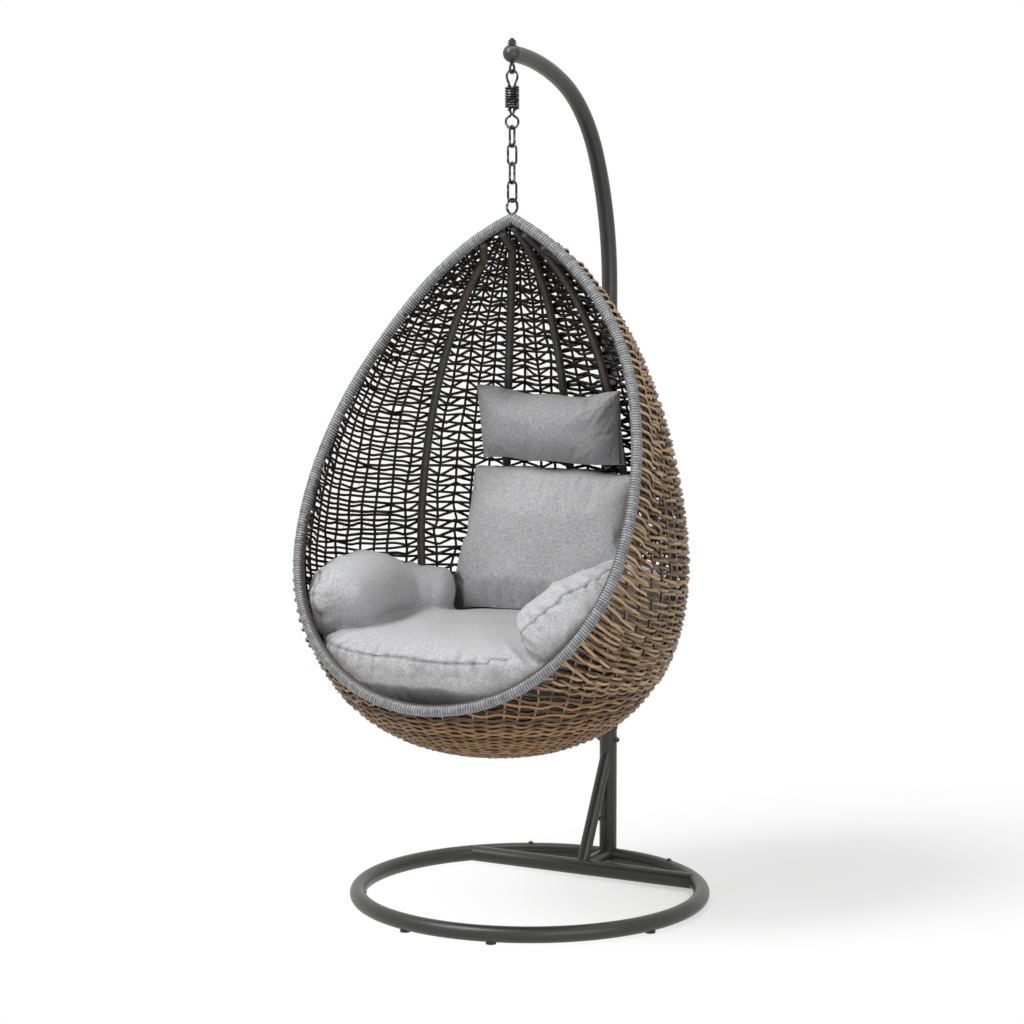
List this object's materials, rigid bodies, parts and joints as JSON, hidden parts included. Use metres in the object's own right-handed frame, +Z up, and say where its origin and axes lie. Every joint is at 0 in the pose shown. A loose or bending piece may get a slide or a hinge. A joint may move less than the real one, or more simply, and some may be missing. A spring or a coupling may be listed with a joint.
{
  "type": "hanging egg chair",
  "caption": "Hanging egg-shaped lounge chair of woven wicker with loose cushions, on a curved tubular stand with a ring base, hung by a spring and chain.",
  "frame": {"origin": "on the floor under the middle of the whole chair", "axes": "+Z up, the basket opens towards -Y, the post stands at +Y, +X to the right seen from the front"},
  "size_m": [0.9035, 0.9514, 2.0183],
  "materials": {
    "charcoal_paint": "satin powder coat",
    "black_hardware": "satin black coating",
    "sleeve_steel": "plain, inside the ring",
    "black_plastic": "matte",
    "black_rubber": "matte",
    "dark_steel": "worn dark chain steel",
    "spring_steel": "dark spring steel",
    "frame_paint": "satin brown paint",
    "grey_rim_wrap": "satin flat strand, wound",
    "dark_rib_wrap": "satin strand, wound",
    "brown_wicker": "satin round strand, woven",
    "grey_linen": "matte woven cloth"
  },
  "bodies": {
    "stand": {"base_ring_front": "charcoal_paint", "base_ring_rear": "charcoal_paint", "ring_sleeves": "sleeve_steel", "ring_bolts": "black_hardware", "cross_bar": "charcoal_paint", "spur": "charcoal_paint", "post_socket": "charcoal_paint", "post_collar": "black_plastic", "socket_bolt": "black_hardware", "socket_cap_nut": "black_hardware", "brace": "charcoal_paint", "brace_tie_bolt": "black_hardware", "brace_tie_nut": "black_hardware", "brace_plug": "black_plastic", "feet": "black_rubber", "arm_tube": "charcoal_paint", "ball_end": "charcoal_paint", "eyebolt_washer": "black_hardware", "eyebolt_nut": "black_hardware", "eyebolt": "black_hardware"},
    "hanger": {"spring_hanger": "spring_steel", "spring_coil": "spring_steel"},
    "drawbar": {"spring_drawbar": "spring_steel"},
    "link_1": {"chain_link_1": "dark_steel"},
    "basket": {"chain_link_2": "dark_steel", "chain_link_3": "dark_steel", "chain_link_4": "dark_steel", "hanging_ring": "dark_steel", "rim_tube": "frame_paint", "rim_wrap": "grey_rim_wrap", "bottom_hoop": "frame_paint", "rib_centre": "frame_paint", "rib_inner_right": "frame_paint", "rib_outer_right": "frame_paint", "rib_inner_left": "frame_paint", "rib_outer_left": "frame_paint", "rib_wrap_centre": "dark_rib_wrap", "rib_wrap_inner_right": "dark_rib_wrap", "rib_wrap_outer_right": "dark_rib_wrap", "rib_wrap_inner_left": "dark_rib_wrap", "rib_wrap_outer_left": "dark_rib_wrap", "front_stay_right": "frame_paint", "front_stay_left": "frame_paint", "wicker_shell": "brown_wicker", "seat_cushion": "grey_linen", "arm_cushion_right": "grey_linen", "arm_cushion_left": "grey_linen", "back_cushion": "grey_linen", "head_pillow": "grey_linen"}
  },
  "joints": [
    {"name": "hanger_swing", "type": "hinge", "parent": "stand", "child": "hanger", "pos_m": [0, -0.0329, 1.94554], "axis": [1, 0, 0], "range_deg": [-15, 4]},
    {"name": "spring_stretch", "type": "slide", "parent": "hanger", "child": "drawbar", "axis": [0, 0, -1], "range_m": [0, 0.01], "stiffness_N_per_m": 70000, "springref_m": -0.0058, "deforming": ["spring_coil"]},
    {"name": "link_1_sway", "type": "hinge", "parent": "drawbar", "child": "link_1", "pos_m": [0, -0.0329, 1.81414], "axis": [0, 1, 0], "range_deg": [-10, 10]},
    {"name": "basket_twist", "type": "hinge", "parent": "link_1", "child": "basket", "pos_m": [0, -0.0329, 1.77], "axis": [0, 0, 1], "range_deg": [-12, 12]}
  ]
}
